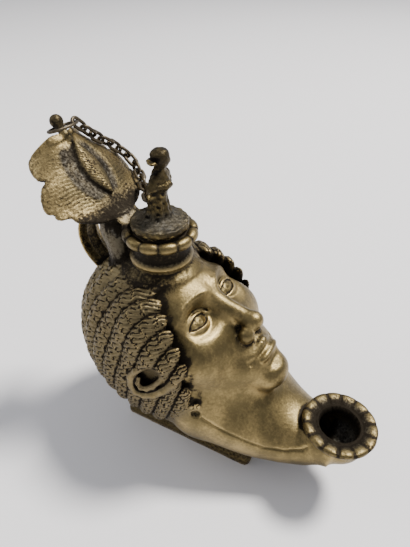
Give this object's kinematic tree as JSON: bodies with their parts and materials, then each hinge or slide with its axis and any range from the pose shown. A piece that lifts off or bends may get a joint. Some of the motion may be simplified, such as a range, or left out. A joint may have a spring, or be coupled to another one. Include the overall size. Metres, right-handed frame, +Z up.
{
  "type": "roman style oil lamp",
  "caption": "Cast brass oil lamp shaped as a head lying back on a block foot, with a nozzle, a lidded filling hole, a leaf shield, a finger ring and a chain.",
  "frame": {"origin": "centre of the foot's flat underside, on the surface that the lamp stands on", "axes": "+X from the foot towards the nozzle, +Y to the lamp's left, +Z up"},
  "size_m": [0.1519, 0.0758, 0.1513],
  "materials": {
    "body_brass": "satin cast brass with a dark brown patina in the recesses and worn golden high spots",
    "lid_brass": "rough cast brass, black grey on top and golden at the rim",
    "chain_brass": "dark tarnished wire with rubbed edges"
  },
  "bodies": {
    "root": {"lamp_body": "body_brass", "lid": "lid_brass", "chain_ring": "chain_brass", "chain_link_01": "chain_brass", "chain_link_02": "chain_brass", "chain_link_03": "chain_brass", "chain_link_04": "chain_brass", "chain_link_05": "chain_brass", "chain_link_06": "chain_brass", "chain_link_07": "chain_brass", "chain_link_08": "chain_brass", "chain_link_09": "chain_brass", "chain_link_10": "chain_brass", "chain_link_11": "chain_brass", "chain_link_12": "chain_brass", "chain_link_13": "chain_brass"}
  },
  "joints": []
}
